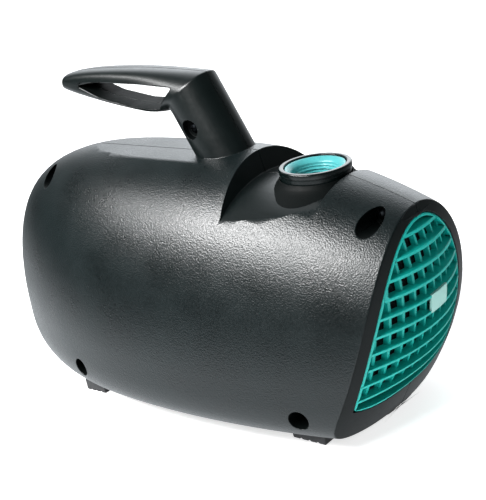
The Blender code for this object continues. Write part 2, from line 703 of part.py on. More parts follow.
def make_motor():
    front_shield = CASING_X[1] + GAP + SHIELD_THICK
    rear_shield = CASING_X[0] - GAP - SHIELD_THICK
    end_shield("front_end_shield", front_shield, -1)
    end_shield("rear_end_shield", rear_shield, 1)
    ring("motor_casing", CASING_RADIUS - 2, CASING_RADIUS, *CASING_X, AXIS, "X", "cast_aluminium", 28)
    bore = SHAFT_RADIUS + 0.15
    front_bearing = front_shield - SHIELD_THICK - 6.0
    ring("front_bearing", bore, BEARING_RADIUS, front_bearing, front_bearing + BEARING_LENGTH,
         AXIS, "X", "zinc_steel", 24)
    rear_bearing = rear_shield + SHIELD_THICK + 6.0
    ring("rear_bearing", bore, BEARING_RADIUS, rear_bearing - BEARING_LENGTH, rear_bearing,
         AXIS, "X", "zinc_steel", 24)
    ring("stator_core", ROTOR_RADIUS + AIR_GAP, CASING_RADIUS - 2 - GAP, *STATOR_X, AXIS, "X",
         "lamination_steel", 24)
    for tag, low, high in (("front", STATOR_X[1] + GAP, STATOR_X[1] + 13.0),
                           ("rear", STATOR_X[0] - 13.0, STATOR_X[0] - GAP)):
        middle = (low + high) / 2
        profile = ((28.0, low), (39.0, low), (41.0, middle), (38.0, high), (29.0, high), (27.0, middle))
        lathe(f"stator_winding_{tag}", profile, AXIS, "X", "copper_wire", 24)
    ring("rotor_core", bore, ROTOR_RADIUS, *STATOR_X, AXIS, "X", "lamination_steel", 24)
    profile = ((0, -36.0), (SHAFT_RADIUS - 1, -36.0), (SHAFT_RADIUS, -35.0), (SHAFT_RADIUS, 127.0),
               (3.0, 127.0), (3.0, 134.0), (0, 134.0))
    lathe("rotor_shaft", profile, AXIS, "X", "zinc_steel", 24)
    for number, (y, z) in enumerate(bolt_places(), 1):
        head = rear_shield - GAP
        profile = ((0, head - 4), (3.4, head - 4), (3.4, head), (1.8, head), (1.8, front_shield - 0.6),
                   (0, front_shield - 0.6))
        lathe(f"motor_bolt_{number}", profile, (y, z), "X", "zinc_steel", 8)
    for tag, x in (("front", 68.0), ("rear", 10.0)):
        saddle = block(f"motor_mount_{tag}", (x, -31, WALL + Z_BELLY + 0.6), (x + 14, 31, 60),
                       "black_rubber")
        combine(saddle, rods(f"seat_{tag}", [AXIS], CASING_RADIUS + GAP, x - 5, x + 20, "X", 32))


def bladed_wheel(name, hub_profile, blades, inner, outer, low, high, sweep, material):
    """A turned hub with curved blades: sweep is the angle that each blade leans back by."""
    wheel = lathe(name, hub_profile, AXIS, "X", material, 24)
    points = []
    faces = []
    steps = 4
    half = 0.9
    for blade in range(blades):
        start = len(points)
        for step in range(steps + 1):
            share = step / steps
            radius = inner + (outer - inner) * share
            angle = math.tau * blade / blades - sweep * share
            for x, offset in ((low, -half), (high, -half), (high, half), (low, half)):
                turn = angle + offset / radius
                points.append((x, AXIS[0] + radius * math.cos(turn), AXIS[1] + radius * math.sin(turn)))
        faces += [tuple(start + corner for corner in face)
                  for face in strips(steps + 1, 4, closed_columns=True)]
        faces.append(tuple(range(start, start + 4)))
        faces.append(tuple(start + 4 * steps + corner for corner in range(4)))
    return combine(wheel, solid(f"blades_{name}", points, faces), "UNION")


def scroll_outline(grow):
    """A spiral round the impeller, widest just before the outlet neck at the top."""
    steps = 24
    outline = []
    for step in range(steps):
        angle = math.pi / 2 + math.tau * step / steps
        radius = SCROLL_RADIUS + SCROLL_GROWTH * step / (steps - 1) + grow
        outline.append((AXIS[0] + radius * math.cos(angle), AXIS[1] + radius * math.sin(angle)))
    return outline


def make_blower():
    bore = SHAFT_RADIUS + 0.15
    x = IMPELLER_X
    hub = ((bore, x), (IMPELLER_RADIUS, x), (IMPELLER_RADIUS, x + 2), (12, x + 2.5), (9.5, x + 15),
           (bore, x + 15))
    bladed_wheel("impeller", hub, IMPELLER_BLADES, 11.5, IMPELLER_RADIUS - 0.5, x + 1, x + 17,
                 math.radians(55), "grey_plastic")
    hexagon = [(AXIS[0] + 6 * math.cos(math.tau * side / 6), AXIS[1] + 6 * math.sin(math.tau * side / 6))
               for side in range(6)]
    nut = extrude("impeller_nut", hexagon, 127.4, 132.4, "X", "zinc_steel")
    combine(nut, rods("nut_bore", [AXIS], 3.15, 120, 140, "X", 24))
    x = FAN_X
    hub = ((bore, x), (10, x), (10, x + 12), (bore, x + 12))
    bladed_wheel("cooling_fan", hub, FAN_BLADES, 8.5, FAN_RADIUS, x + 1, x + 11, 0.0, "grey_plastic")

    low, high = SCROLL_X
    casing = extrude("volute_casing", scroll_outline(WALL), low, high, "X", "grey_plastic")
    neck_low = Z_SHAFT + SCROLL_RADIUS - 2
    combine(casing, rods("neck", [(X_PORT, 0)], NECK_RADIUS, neck_low, 151.6, "Z", 24), "UNION")
    combine(casing, extrude("scroll_room", scroll_outline(0), low + WALL, high + 5))
    combine(casing, rods("neck_bore", [(X_PORT, 0)], NECK_BORE, neck_low - 4, 170, "Z", 24))
    combine(casing, rods("seal_hole", [AXIS], 9.6, low - 5, low + 10, "X", 24))
    ring("shaft_seal", SHAFT_RADIUS + 0.2, 9.3, low, low + WALL, AXIS, "X", "black_rubber", 24)
    gasket = extrude("volute_gasket", scroll_outline(WALL), high + GAP, high + 1.5, "X", "black_rubber")
    combine(gasket, extrude("gasket_room", scroll_outline(0), high - 5, high + 5))
    cover = extrude("volute_cover", scroll_outline(WALL), high + 1.8, high + 4.8, "X", "grey_plastic")
    combine(cover, rods("inlet_mouth", [AXIS], 24.0, high - 5, high + 10, "X", 32))


def make_electrics():
    can = 14.0  # radius of the capacitor, which lies on the motor casing
    above = Z_SHAFT + CASING_RADIUS + GAP + can
    profile = ((0, 6), (can - 1, 6), (can, 7), (can, 59), (can - 1, 60), (0, 60))
    lathe("capacitor", profile, (0.0, above), "X", "grey_plastic", 24)
    block("terminal_block", (-150, -16, 20.4), (-122, 16, 36), "grey_plastic")
    centre = (0.0, GLAND_Z)
    cable_hole = 3.6
    flange = POCKET_FLOOR - GAP
    profile = ((cable_hole, -199.5), (6.0, -199.5), (9.0, -196.0), (10.5, flange - 5), (12.5, flange - 4),
               (12.5, flange), (GLAND_THREAD_RADIUS, flange), (GLAND_THREAD_RADIUS, flange + 12),
               (cable_hole, flange + 12))
    lathe("cable_gland", profile, centre, "X", "satin_black", 24)
    inside = POCKET_FLOOR + WALL + GAP
    hexagon = [(13 * math.cos(math.tau * side / 6), GLAND_Z + 13 * math.sin(math.tau * side / 6))
               for side in range(6)]
    nut = extrude("gland_nut", hexagon, inside, inside + 5, "X", "satin_black")
    combine(nut, rods("gland_nut_bore", [centre], GLAND_THREAD_RADIUS + GAP, -200, -160, "X", 24))


clear_scene()
SHADES = make_materials()
make_housing("housing_right", -1)
make_housing("housing_left", 1)
make_screws()
make_feet()
make_front()
make_outlet()
make_motor()
make_blower()
make_electrics()
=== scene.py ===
# %% [markdown]
# # Portable air pump
# A barrel-shaped housing in two moulded halves, with a carrying handle, an intake grille at
# the front and a threaded outlet on top. The engineering model gives every piece its place
# and its size. This lesson builds the surfaces that a buyer would see around that frame:
# soft edges, plastic grain, a real screw thread and the light of a small studio.

# %% Load the frame
import math

import bmesh
import bpy
import numpy as np
from mathutils import Matrix, Vector


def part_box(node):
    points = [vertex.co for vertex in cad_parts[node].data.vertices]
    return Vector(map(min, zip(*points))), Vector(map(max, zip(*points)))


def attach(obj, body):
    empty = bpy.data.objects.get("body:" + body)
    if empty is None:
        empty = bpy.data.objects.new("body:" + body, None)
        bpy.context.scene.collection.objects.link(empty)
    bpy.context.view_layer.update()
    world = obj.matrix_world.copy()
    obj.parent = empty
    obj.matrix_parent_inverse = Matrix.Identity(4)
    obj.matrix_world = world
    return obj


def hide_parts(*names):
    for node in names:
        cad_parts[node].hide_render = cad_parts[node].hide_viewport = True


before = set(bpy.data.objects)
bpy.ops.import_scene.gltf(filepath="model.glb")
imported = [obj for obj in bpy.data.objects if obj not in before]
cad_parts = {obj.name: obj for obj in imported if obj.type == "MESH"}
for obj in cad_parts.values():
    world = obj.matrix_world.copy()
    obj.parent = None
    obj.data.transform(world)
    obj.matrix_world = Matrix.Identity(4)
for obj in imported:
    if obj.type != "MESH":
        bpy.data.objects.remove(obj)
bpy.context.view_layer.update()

# %% [markdown]
# ## Camera
# The pump is seen from its front right corner and a little from above, with a long lens so
# that parallel edges hardly converge. The camera is built from three directions, right, up
# and back, which is easier to reason about than three angles when the camera is also tilted
# a few degrees on its own axis.

# %% Place the camera
AZIMUTH = math.radians(41.98)
ELEVATION = math.radians(20.2)
ROLL = math.radians(9.446)
level = Vector((math.cos(AZIMUTH), math.sin(AZIMUTH), 0))
upright = Vector((-math.sin(AZIMUTH) * math.sin(ELEVATION), math.cos(AZIMUTH) * math.sin(ELEVATION),
                  math.cos(ELEVATION)))
back = level.cross(upright)
right = math.cos(ROLL) * level - math.sin(ROLL) * upright
up = math.sin(ROLL) * level + math.cos(ROLL) * upright
lens = bpy.data.cameras.new("camera")
lens.lens = 85.6
lens.sensor_width = 36
camera = bpy.data.objects.new("camera", lens)
bpy.context.scene.collection.objects.link(camera)
turned = Matrix((right, up, back)).transposed().to_4x4()
camera.matrix_world = Matrix.Translation((0.5976, -0.6215, 0.4201)) @ turned
bpy.context.scene.camera = camera
bpy.context.scene.view_settings.view_transform = "Standard"
print("camera looks along", [round(part, 3) for part in -back])

# %% [markdown]
# ## Shader maths
# A material is a graph of nodes, and drawing one by hand hides the idea behind it. Here a
# small class wraps one output of a node, so that `1 - mask * 0.3` builds the Math nodes for
# that sum. Everything else, such as a noise or a bump, comes from one method, `node`.


# %% Wrap a socket
class Wire:
    """One output in a material. Arithmetic on it adds Math nodes."""

    def __init__(self, tree, end=None):
        self.tree = tree
        self.end = end

    def node(self, kind, settings=None, sockets=None, output=0):
        made = self.tree.nodes.new("ShaderNode" + kind)
        for name, value in (settings or {}).items():
            setattr(made, name, value)
        for key, value in (sockets or {}).items():
            if isinstance(value, Wire):
                self.tree.links.new(value.end, made.inputs[key])
            else:
                made.inputs[key].default_value = value
        return Wire(self.tree, made.outputs[output])

    def math(self, operation, first, second=0.0, clamp=False):
        return self.node("Math", {"operation": operation, "use_clamp": clamp}, {0: first, 1: second})

    def __add__(self, other):
        return self.math("ADD", self, other)

    def __sub__(self, other):
        return self.math("SUBTRACT", self, other)

    def __rsub__(self, other):
        return self.math("SUBTRACT", other, self)

    def __mul__(self, other):
        return self.math("MULTIPLY", self, other)

    def __pow__(self, other):
        return self.math("POWER", self, other)

    __radd__ = __add__
    __rmul__ = __mul__

    def clamped(self):
        return self.math("ADD", self, 0.0, True)

    def between(self, low, high):
        """0 below low, 1 above high and smooth between them."""
        return self.node("MapRange", {"interpolation_type": "SMOOTHSTEP"},
                         {"Value": self, "From Min": low, "From Max": high})

    def blend(self, first, second):
        """A colour from first to second as this value goes from 0 to 1."""
        return self.node("Mix", {"data_type": "RGBA"}, {0: self, 6: first, 7: second}, 2)

    def part(self, axis):
        return self.node("SeparateXYZ", None, {0: self}, "XYZ".index(axis))


print("arithmetic on wires:", [name for name in vars(Wire) if name.startswith("__r")])

# %% [markdown]
# ## Finishes
# Nearly all of this pump is injection-moulded plastic, and what tells one moulding from
# another is the surface of its tool. A spark-eroded tool leaves a fine, even grain that
# breaks the highlight into sparkles, and a stoned tool leaves a smooth satin. Both start
# here from one recipe: a colour that drifts a little, a roughness that drifts more, and a
# bump of two grain sizes. All patterns are worked out in object space, in metres.


# %% A recipe for plastics
def finish(name, colour, roughness, grain=0.0, grain_size=0.001, drift=0.1, coat=0.0, metal=0.0,
           ior=1.5):
    material = bpy.data.materials.new(name)
    material.use_nodes = True
    tree = material.node_tree
    shader = tree.nodes["Principled BSDF"]
    shader.inputs["Metallic"].default_value = metal
    shader.inputs["Coat Weight"].default_value = coat
    shader.inputs["Coat Roughness"].default_value = 0.12
    shader.inputs["IOR"].default_value = ior
    start = Wire(tree)
    place = start.node("TexCoord", output=3)
    cloud = place.node("TexNoise", None, {"Vector": place, "Scale": 26.0, "Detail": 3.0})
    speck = place.node("TexNoise", None, {"Vector": place, "Scale": 0.6 / grain_size, "Detail": 2.0})
    pale = tuple(min(1.0, part * (1 + drift)) for part in colour)
    deep = tuple(part * (1 - drift) for part in colour)
    tone = (cloud * 0.6 + speck * 0.4).between(0.3, 0.7)
    tree.links.new(tone.blend((*deep, 1), (*pale, 1)).end, shader.inputs["Base Color"])
    dull = (cloud - 0.5) * 0.16 + (speck - 0.5) * 0.12 + roughness
    tree.links.new(dull.clamped().end, shader.inputs["Roughness"])
    if grain:
        pits = place.node("TexNoise", None, {"Vector": place, "Scale": 1 / grain_size, "Detail": 1.0})
        fine = place.node("TexVoronoi", None, {"Vector": place, "Scale": 1.4 / grain_size})
        bump = place.node("Bump", None, {"Strength": grain, "Distance": grain_size,
                                         "Height": pits + fine * 0.3})
        tree.links.new(bump.end, shader.inputs["Normal"])
    return material


GRAINED = finish("grained_charcoal", (0.0028, 0.0058, 0.0062), 0.31, grain=0.23, grain_size=0.0011, drift=0.3)
SATIN = finish("satin_black", (0.0012, 0.0034, 0.0034), 0.34, grain=0.02, grain_size=0.0016)
# A darker, duller black with weak reflection for hollows, bores, the finger slot and the plinth under the
# collar: painted shade.
SHADE_BLACK = finish("shade_black", (0.0010, 0.0020, 0.0020), 0.6, grain=0.03, grain_size=0.002, ior=1.2)
GLOSS = finish("gloss_black", (0.0012, 0.0034, 0.0034), 0.22, grain=0.02, grain_size=0.0016)
TEAL = finish("teal_plastic", (0.004, 0.370, 0.325), 0.36, grain=0.05, grain_size=0.0012, drift=0.06)
AQUA = finish("aqua_plastic", (0.060, 0.320, 0.330), 0.30, grain=0.03, grain_size=0.0014, drift=0.05)
MINT = finish("mint_plastic", (0.29, 0.53, 0.49), 0.42, grain=0.08, grain_size=0.0009, drift=0.05)
# Dark steel for the housing screws: their dark heads are painted shade for the deep bores.
SCREW_SHADE_STEEL = finish("screw_shade_steel", (0.006, 0.007, 0.008), 0.5, grain=0.05, grain_size=0.0006, metal=1.0)
RUBBER = finish("foot_rubber", (0.030, 0.031, 0.033), 0.7, grain=0.25, grain_size=0.0012)
FOAM = finish("open_foam", (0.010, 0.010, 0.011), 0.95, grain=1.0, grain_size=0.0022, drift=0.3)
STEEL = finish("zinc_steel", (0.50, 0.51, 0.53), 0.3, grain=0.05, grain_size=0.0006, metal=1.0)
LAMINATION = finish("lamination_steel", (0.22, 0.23, 0.25), 0.45, grain=0.2, grain_size=0.0007, metal=1.0)
ALUMINIUM = finish("cast_aluminium", (0.55, 0.56, 0.57), 0.42, grain=0.25, grain_size=0.0012, metal=1.0)
COPPER = finish("enamelled_copper", (0.62, 0.25, 0.09), 0.3, grain=0.3, grain_size=0.0008, metal=1.0)
GREY = finish("grey_plastic", (0.16, 0.165, 0.17), 0.45, grain=0.12, grain_size=0.001)
print(len(bpy.data.materials), "finishes")

# %% [markdown]
# ## Mesh helpers
# A moulding can be pushed and pulled by hand, but its form follows a few curves, so it is
# quicker and cleaner to write those curves down and let loops place the points. Holes and
# pockets are then cut with Booleans, as the tool maker would, and every sharp edge is
# rounded last, because a real edge always carries a thin line of light.

# %% Points and faces
MM = 0.001
ORIGIN = Vector((3.0, 0.0, 0.0))  # the curves are written from a point 3 mm behind the middle


def solid(name, points, faces, finish=SHADE_BLACK):
    """A mesh from points in millimetres, with its faces turned outwards."""
    mesh = bpy.data.meshes.new(name)
    mesh.from_pydata([(Vector(point) - ORIGIN) * MM for point in points], [], faces)
    work = bmesh.new()
    work.from_mesh(mesh)
    bmesh.ops.remove_doubles(work, verts=work.verts, dist=1e-6)
    bmesh.ops.delete(work, geom=[edge for edge in work.edges if edge.is_wire], context="EDGES")
    bmesh.ops.recalc_face_normals(work, faces=work.faces)
    work.to_mesh(mesh)
    work.free()
    mesh.materials.append(finish)
    made = bpy.data.objects.new(name, mesh)
    bpy.context.scene.collection.objects.link(made)
    return made


def box(node):
    """The box of an engineering piece in millimetres, measured as the curves are."""
    return [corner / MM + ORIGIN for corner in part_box(node)]


def strips(rows, columns, closed_rows=False, closed_columns=False):
    """Quads over a grid of points stored row by row."""
    faces = []
    for row in range(rows if closed_rows else rows - 1):
        for column in range(columns if closed_columns else columns - 1):
            across = (column + 1) % columns
            below = (row + 1) % rows
            faces.append((row * columns + column, row * columns + across,
                          below * columns + across, below * columns + column))
    return faces


def place(along, first, second, axis):
    """A point from its distance along an axis and two distances across it."""
    return {"X": (along, first, second), "Y": (first, along, second), "Z": (first, second, along)}[axis]


def lathe(name, profile, centre, axis, finish=SHADE_BLACK, segments=96):
    """Turns a closed profile of (radius, distance along the axis)."""
    points = []
    for radius, along in profile:
        for step in range(segments):
            angle = math.tau * step / segments
            points.append(place(along, centre[0] + radius * math.cos(angle),
                                centre[1] + radius * math.sin(angle), axis))
    return solid(name, points, strips(len(profile), segments, True, True), finish)


def extrude(name, outline, low, high, axis, finish=SHADE_BLACK):
    """A prism: outline holds the two coordinates across the axis."""
    count = len(outline)
    points = [place(low, *spot, axis) for spot in outline] + [place(high, *spot, axis) for spot in outline]
    faces = [tuple(range(count)), tuple(range(count, 2 * count))]
    for step in range(count):
        after = (step + 1) % count
        faces.append((step, after, count + after, count + step))
    return solid(name, points, faces, finish)


def rod(name, centre, radius, low, high, axis, finish=SHADE_BLACK, segments=48):
    outline = [(centre[0] + radius * math.cos(math.tau * step / segments),
                centre[1] + radius * math.sin(math.tau * step / segments)) for step in range(segments)]
    return extrude(name, outline, low, high, axis, finish)


print("helpers for prisms, turned forms and grids")


# %% Cutting and rounding
def combine(target, other, operation="DIFFERENCE"):
    """Applies a Boolean at once and removes the other solid. Cut faces keep its finish."""
    modifier = target.modifiers.new(other.name, "BOOLEAN")
    modifier.operation = operation
    modifier.solver = "EXACT"
    modifier.material_mode = "TRANSFER"
    modifier.object = other
    graph = bpy.context.evaluated_depsgraph_get()
    mesh = bpy.data.meshes.new_from_object(target.evaluated_get(graph))
    target.modifiers.clear()
    target.data = mesh
    bpy.data.objects.remove(other)
    return target


def soften(piece, radius_at, weld=0.12, angle=28.0, segments=3):
    """Rounds each sharp edge. radius_at(middle of the edge, in mm) gives its radius in mm."""
    work = bmesh.new()
    work.from_mesh(piece.data)
    bmesh.ops.remove_doubles(work, verts=work.verts, dist=weld * MM)
    bmesh.ops.dissolve_degenerate(work, dist=1e-6, edges=work.edges)
    weights = work.edges.layers.float.new("bevel_weight_edge")
    widest = 0.0
    sharp = []
    for edge in work.edges:
        if len(edge.link_faces) == 2 and edge.calc_face_angle(0.0) > math.radians(angle):
            radius = radius_at((edge.verts[0].co + edge.verts[1].co) / 2 / MM + ORIGIN)
            sharp.append((edge, radius))
            widest = max(widest, radius)
    for edge, radius in sharp:
        edge[weights] = radius / widest
    work.to_mesh(piece.data)
    work.free()
    modifier = piece.modifiers.new("soft_edges", "BEVEL")
    modifier.limit_method = "WEIGHT"
    modifier.width = widest * MM
    modifier.segments = segments
    modifier.use_clamp_overlap = False
    modifier.miter_outer = "MITER_ARC"
    piece.data.shade_smooth()
    sharpen = piece.modifiers.new("flat_to_round", "WEIGHTED_NORMAL")
    sharpen.keep_sharp = True
    sharpen.weight = 60
    return piece


def show(piece, slot, *nodes, body="housing"):
    """The piece rides on a body and stands for these nodes. Its slot is not used."""
    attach(piece, body)
    if nodes:
        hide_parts(*nodes)
    return piece


print("helpers for cutting, rounding and riding")

# %% [markdown]
# ## Barrel
# The body is a barrel with a domed front and a blunt rear. Its section is a superellipse:
# nearly round above the widest line and almost square below it, so that the pump stands
# steadily. Subdivision modelling would round it just as well, but the two halves have to
# meet on a straight seam, and a formula keeps every point of that seam in one plane.

# %% The barrel's curves
housing_low, housing_high = box("housing_left")
HALF_WIDTH = housing_high.y
X_REAR = housing_low.x - 0.2  # the pocket for the cable gland removes the tip
X_FRONT = 201.1
X_KNEE = -11.2
CLOSE_POWER = 2.757
Z_MIDDLE = 56.4
Z_CROWN = 194.1
Z_BELLY = 8.0
X_CROWN = 38.9
X_WIDEST = 23.9
UPPER_POWER = 2.04
LOWER_POWER = 4.9
WALL = 3.0
GAP = 0.3
SEAM = 0.3  # from the middle plane to the edge of each half


def front_x(y, z):
    """The shallow dome of the front face."""
    return X_FRONT - 0.002247 * y * y - 0.002529 * (z - 125.1) ** 2


def section_point(x, angle, inset=0.0, seam=0.0):
    """(y, z) on the skin, or that far inside it. 90 degrees is the crown, at the seam."""
    share = min(max((X_KNEE - x) / (X_KNEE - X_REAR - inset), 0.0), 1.0)
    close = (1 - share ** CLOSE_POWER) ** (1 / CLOSE_POWER)
    crown = Z_CROWN - inset - 0.001224 * max(x - X_CROWN, 0.0) ** 2
    reach = (HALF_WIDTH - inset - 0.000906 * (x - X_WIDEST) ** 2 - seam) * close
    upper = math.sin(angle) >= 0
    power = UPPER_POWER if upper else LOWER_POWER
    height = (crown - Z_MIDDLE if upper else Z_MIDDLE - Z_BELLY - inset) * close
    across = abs(math.cos(angle)) ** (2 / power)
    rise = math.copysign(abs(math.sin(angle)) ** (2 / power), math.sin(angle))
    return seam + reach * across, Z_MIDDLE + height * rise


def rim_x(angle, inset, front_inset, seam):
    """Where the line at this angle meets the front face."""
    x = X_FRONT - 20
    for _ in range(40):
        across, z = section_point(x, angle, inset, seam)
        x = 0.6 * x + 0.4 * (front_x(across, z) - front_inset)
    return x


print("half width", round(HALF_WIDTH, 2), "rear", round(X_REAR, 2))


# %% Half a barrel
def half_barrel(name, side, inset, front_inset, seam, stations, angles, skin, face):
    points = []
    turns = [math.pi / 2 - math.pi * step / angles for step in range(angles + 1)]
    rims = [rim_x(turn, inset, front_inset, seam) for turn in turns]
    rear = X_REAR + inset
    for station in range(stations + 1):
        share = 1 - math.cos(math.pi / 2 * station / stations)
        for turn, rim in zip(turns, rims):
            x = rear + (rim - rear) * share
            across, z = section_point(x, turn, inset, seam)
            points.append((x, side * across, z))
    front_rows = 18
    for row in range(1, front_rows + 1):
        for turn, rim in zip(turns, rims):
            across, z = section_point(rim, turn, inset, seam)
            y = seam + (across - seam) * (1 - row / front_rows)
            points.append((front_x(y, z) - front_inset, side * y, z))
    columns = angles + 1
    rows = stations + 1 + front_rows
    faces = strips(rows, columns)
    crown_line = [row * columns for row in range(stations + 1)]
    front_line = [(rows - 1) * columns + column for column in range(columns)]
    belly_line = [row * columns + columns - 1 for row in range(stations, 0, -1)]
    faces.append(tuple(crown_line + front_line[1:-1] + belly_line))
    made = solid(name, points, faces, skin)
    made.data.materials.append(face)
    for polygon in made.data.polygons:
        x, y, z = polygon.center / MM + ORIGIN
        if abs(x - front_x(y, z) + front_inset) < 0.3 and polygon.normal.x > 0.7:
            polygon.material_index = 1
    return made


print("widest point", [round(value, 2) for value in section_point(X_WIDEST, 0.0)])

# %% [markdown]
# ## Handle
# The handle is moulded with the halves: a round stem that leans back, and a long flat loop
# that is mitred onto it. It is lofted through rings. Between the rings of the grip the
# points follow a smooth curve, and the stem is straight, so the mitre stays a crisp line.

# %% Rings of the handle
MITRE_FRONT = (35.0, 249.5)
MITRE_REAR = (1.6, 221.2)
STEM_RADIUS = 21.0
STEM_LEAN = 0.502
GRIP_RINGS = (  # upper point, lower point, half depth, power of the section
    (-110.8, 242.8, -110.9, 237.6, 6.5, 2.2),
    (-109.8, 245.0, -110.2, 236.0, 9.0, 2.3),
    (-107.0, 246.8, -108.0, 235.0, 11.0, 2.5),
    (-97.0, 248.8, -98.0, 233.0, 12.6, 2.8),
    (-80.0, 250.4, -80.0, 230.0, 13.6, 3.5),
    (-55.0, 251.5, -55.0, 225.7, 14.6, 3.7),
    (-25.0, 251.9, -25.0, 221.3, 16.2, 3.2),
    (8.0, 251.0, -10.0, 220.2, 19.0, 2.4),
    (*MITRE_FRONT, *MITRE_REAR, STEM_RADIUS, 2.0),
)
GRIP_SLOT = ((-89.8, 239.6), (-75.0, 242.2), (-60.8, 242.8), (-21.7, 242.8), (15.0, 241.6),
             (-3.0, 224.2), (-35.7, 225.6), (-65.4, 230.8))


def stem_edges(z, shrink=0.0):
    """Front and rear X of the leaning stem at a height."""
    slant = math.sqrt(1 + STEM_LEAN ** 2)
    front = MITRE_FRONT[0] + (MITRE_FRONT[1] - z) * STEM_LEAN
    return front - shrink * slant, front - (2 * STEM_RADIUS - shrink) * slant


def smooth_rows(rows, steps):
    """Catmull-Rom rows between the given ones."""
    padded = [2 * np.array(rows[0]) - np.array(rows[1]), *map(np.array, rows),
              2 * np.array(rows[-1]) - np.array(rows[-2])]
    made = []
    for index in range(1, len(padded) - 2):
        before, start, end, after = padded[index - 1:index + 3]
        for step in range(steps):
            t = step / steps
            made.append(0.5 * (2 * start + (end - before) * t
                               + (2 * before - 5 * start + 4 * end - after) * t * t
                               + (3 * start - before - 3 * end + after) * t ** 3))
    return made + [np.array(rows[-1], float)]


def handle_rows():
    rows = smooth_rows(GRIP_RINGS, 6)
    for row in rows:
        row[1] = min(row[1], housing_high.z)
    for z_front, z_rear in ((240.0, 218.0), (228.0, 214.5), (216.0, 211.0), (200.0, 199.0), (184.0, 184.0)):
        front = stem_edges(z_front)[0]
        rear = stem_edges(z_rear)[1]
        rows.append(np.array((front, z_front, rear, z_rear, STEM_RADIUS, 2.0)))
    return rows


print(len(handle_rows()), "rings from tip to foot")


# %% Loft the handle
def loft_half(name, rows, side, seam, steps, finish):
    """Half a tube. Under its middle the grip is boxier, so that its lower bar is a flat strap."""
    points = []
    for upper_x, upper_z, lower_x, lower_z, depth, power in rows:
        for step in range(steps + 1):
            angle = math.pi / 2 - math.pi * step / steps
            shape = power + max(0.0, 1.5 * (power - 2.0)) * (angle < 0)
            across = abs(math.cos(angle)) ** (2 / shape)
            along = math.copysign(abs(math.sin(angle)) ** (2 / shape), math.sin(angle))
            share = (1 - along) / 2
            points.append((upper_x + (lower_x - upper_x) * share, side * (seam + (depth - seam) * across),
                           upper_z + (lower_z - upper_z) * share))
    columns = steps + 1
    last = (len(rows) - 1) * columns
    faces = strips(len(rows), columns)
    faces += [tuple(range(columns)), tuple(range(last, last + columns))]
    flat = [row * columns for row in range(len(rows))]
    flat += [row * columns + steps for row in range(len(rows) - 1, -1, -1)]
    faces.append(tuple(flat))
    return solid(name, points, faces, finish)


def rounded(outline, radius, steps=5):
    """The outline with its corners rounded."""
    made = []
    count = len(outline)
    for index, corner in enumerate(outline):
        corner = Vector(corner)
        before = Vector(outline[index - 1]) - corner
        after = Vector(outline[(index + 1) % count]) - corner
        reach = min(radius, before.length * 0.45, after.length * 0.45)
        start = corner + before.normalized() * reach
        end = corner + after.normalized() * reach
        for step in range(steps + 1):
            t = step / steps
            made.append(tuple(start * (1 - t) ** 2 + corner * 2 * t * (1 - t) + end * t * t))
    return made


print(len(rounded(GRIP_SLOT, 3.0)), "points round the finger slot")

# %% [markdown]
# ## Housing halves
# Each half is the barrel, less the notch that the outlet stands in, less the flat under the
# handle, plus the handle, and then hollowed. The notch spares a flared plinth for the collar.
# The five screws go in from one side, so only that half has deep bores. The order matters:
# outer form first, then the hollow, then holes.

# %% Cutters for the halves
SCREW_PLACES = ((180.9, 158.8), (138.8, 30.9), (-126.0, 168.3), (-70.6, 33.8), (28.0, 211.7))
SCREW_SEAT = -14.0
port_low, port_high = box("outlet_collar")
X_PORT = (port_low.x + port_high.x) / 2
GLAND_Z = 56.4
OPENING_TOP = 155.2
OPENING_SPRING = 35.2
OPENING_HALF = 62.3
SILL_MIDDLE = 28.4
FACET_Z = 189.7
PLINTH = ((22.0, 162.0), (44.0, 162.0), (42.0, 166.8), (38.0, 169.2), (34.5, 171.0), (31.2, 173.0),
          (28.5, 174.9), (27.3, 176.4), (26.6, 177.8), (26.2, 178.4), (22.0, 178.4))


NOTCH_FLOOR = 176.7
FLOOR_CROWN = 0.0044  # per mm squared
FLOOR_FALL = 0.04
NOTCH_REAR = 71.0
REAR_SLOPE = 0.22
NOTCH_FRONT = 149.0
FRONT_SLOPE = 0.2


def notch(name, grow=0.0, steps=48, finish=SATIN):
    """The cut across the crown. Its floor is crowned and falls a little towards the front."""
    z_top = 240.0
    fall_from = NOTCH_REAR + 6
    top_front = NOTCH_FRONT - (Z_CROWN - z_top) * FRONT_SLOPE + grow
    top_rear = NOTCH_REAR + (Z_CROWN - z_top) * REAR_SLOPE - grow
    points = []
    for step in range(steps + 1):
        share = 2 * step / steps - 1
        y = 110.0 * share
        crown = NOTCH_FLOOR - grow - FLOOR_CROWN * y * y
        rear = NOTCH_REAR + (Z_CROWN - crown) * REAR_SLOPE - grow
        front = NOTCH_FRONT - (Z_CROWN - crown) * FRONT_SLOPE + grow
        points += [(rear, y, crown - FLOOR_FALL * (rear - fall_from)),
                   (front, y, crown - FLOOR_FALL * (front - fall_from)),
                   (top_front, y, z_top), (top_rear, y, z_top)]
    faces = strips(steps + 1, 4, closed_columns=True)
    faces += [(0, 1, 2, 3), tuple(4 * steps + corner for corner in range(4))]
    return solid(name, points, faces, finish)


def opening_outline(grow=0.0, arch_steps=64, sill_steps=16):
    """The grille opening as (y, z): half an ellipse on a nearly flat sill."""
    half = OPENING_HALF + grow
    rise = OPENING_TOP - OPENING_SPRING + grow
    outline = []
    for step in range(arch_steps + 1):
        angle = math.pi * step / arch_steps
        outline.append((half * math.cos(angle), OPENING_SPRING + rise * math.sin(angle)))
    for step in range(1, sill_steps):
        share = 2 * step / sill_steps - 1
        sag = (OPENING_SPRING - SILL_MIDDLE + grow) * (1 - share ** 4)
        outline.append((half * share, OPENING_SPRING - sag))
    return outline


print("port stands at", round(X_PORT, 2), "mm")


